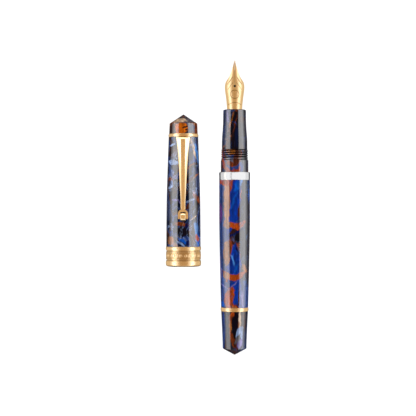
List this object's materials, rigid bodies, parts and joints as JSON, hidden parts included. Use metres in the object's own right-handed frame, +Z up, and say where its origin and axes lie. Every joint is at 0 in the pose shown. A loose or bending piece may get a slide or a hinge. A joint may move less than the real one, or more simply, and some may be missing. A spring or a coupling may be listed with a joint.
{
  "type": "fountain pen",
  "caption": "Fountain pen with a marbled resin barrel, a gilt nib and a screw-on cap with a roller clip, lying uncapped beside its cap.",
  "frame": {"origin": "on the surface the pen and its cap lie on, under the middle of the pair", "axes": "+Y along the pen towards the nib's tip, +Z up, +X from the cap to the pen"},
  "size_m": [0.0376, 0.131, 0.0191],
  "materials": {
    "marbled_resin": "polished marbled acrylic, blue with amber and near-black swirls",
    "gilt_metal": "gold plated, polished",
    "nib_gold": "gold, polished with engraved scrolls",
    "tipping_alloy": "polished",
    "polished_steel": "mirror polished",
    "brass_insert": "turned",
    "black_plastic": "satin",
    "white_plastic": "satin",
    "clear_plastic": "clear moulded",
    "seal_rubber": "soft matte"
  },
  "bodies": {
    "front_unit": {"section": "marbled_resin", "section_oring": "seal_rubber", "converter_tube": "clear_plastic", "converter_ferrule": "polished_steel", "converter_guide": "black_plastic"},
    "nib_unit": {"nib": "nib_gold", "tipping_left": "tipping_alloy", "tipping_right": "tipping_alloy", "feed": "black_plastic", "nib_housing": "black_plastic"},
    "converter_knob": {"converter_knob": "black_plastic"},
    "piston": {"piston_rod": "white_plastic", "piston_seal": "seal_rubber"},
    "barrel_unit": {"barrel_neck": "marbled_resin", "barrel_ring": "polished_steel", "barrel": "marbled_resin", "tail_bush": "brass_insert", "tail_ring": "gilt_metal"},
    "blind_cap": {"blind_cap": "marbled_resin"},
    "cap_unit": {"cap_tube": "marbled_resin", "cap_band": "gilt_metal", "cap_liner": "black_plastic", "cap_crown": "marbled_resin", "crown_stud": "brass_insert", "crown_ring": "gilt_metal"},
    "clip": {"clip": "gilt_metal", "clip_axle": "gilt_metal"},
    "clip_wheel": {"clip_wheel": "gilt_metal"}
  },
  "joints": [
    {"name": "cap_carry", "type": "slide", "parent": "front_unit", "child": "cap_unit", "axis": [0.129, 0.9916, 0], "range_m": [0, 0.17648]},
    {"name": "clip_flex", "type": "hinge", "parent": "cap_unit", "child": "clip", "pos_m": [-0.01092, 0.0307, 0.01487], "axis": [-1, 0, 0], "range_deg": [0, 4], "stiffness_Nm_per_rad": 0.8},
    {"name": "wheel_roll", "type": "hinge", "parent": "clip", "child": "clip_wheel", "pos_m": [-0.01092, -0.00395, 0.01728], "axis": [1, 0, 0], "continuous": true},
    {"name": "barrel_unscrew", "type": "slide", "parent": "front_unit", "child": "barrel_unit", "axis": [0, -1, 0], "range_m": [0, 0.078]},
    {"name": "blind_cap_unscrew", "type": "slide", "parent": "barrel_unit", "child": "blind_cap", "axis": [0, -1, 0], "range_m": [0, 0.025]},
    {"name": "nib_unit_unscrew", "type": "slide", "parent": "front_unit", "child": "nib_unit", "axis": [0, 1, 0], "range_m": [0, 0.028]},
    {"name": "knob_turn", "type": "hinge", "parent": "front_unit", "child": "converter_knob", "pos_m": [0.01185, -0.045, 0.00694], "axis": [0, 1, 0], "range_deg": [0, 2520]},
    {"name": "piston_draw", "type": "slide", "parent": "front_unit", "child": "piston", "axis": [0, -1, 0], "range_m": [0, 0.021]}
  ],
  "couplings": [
    {"joint": "knob_turn", "follows": "piston_draw", "rad_per_m": 2094.4}
  ]
}
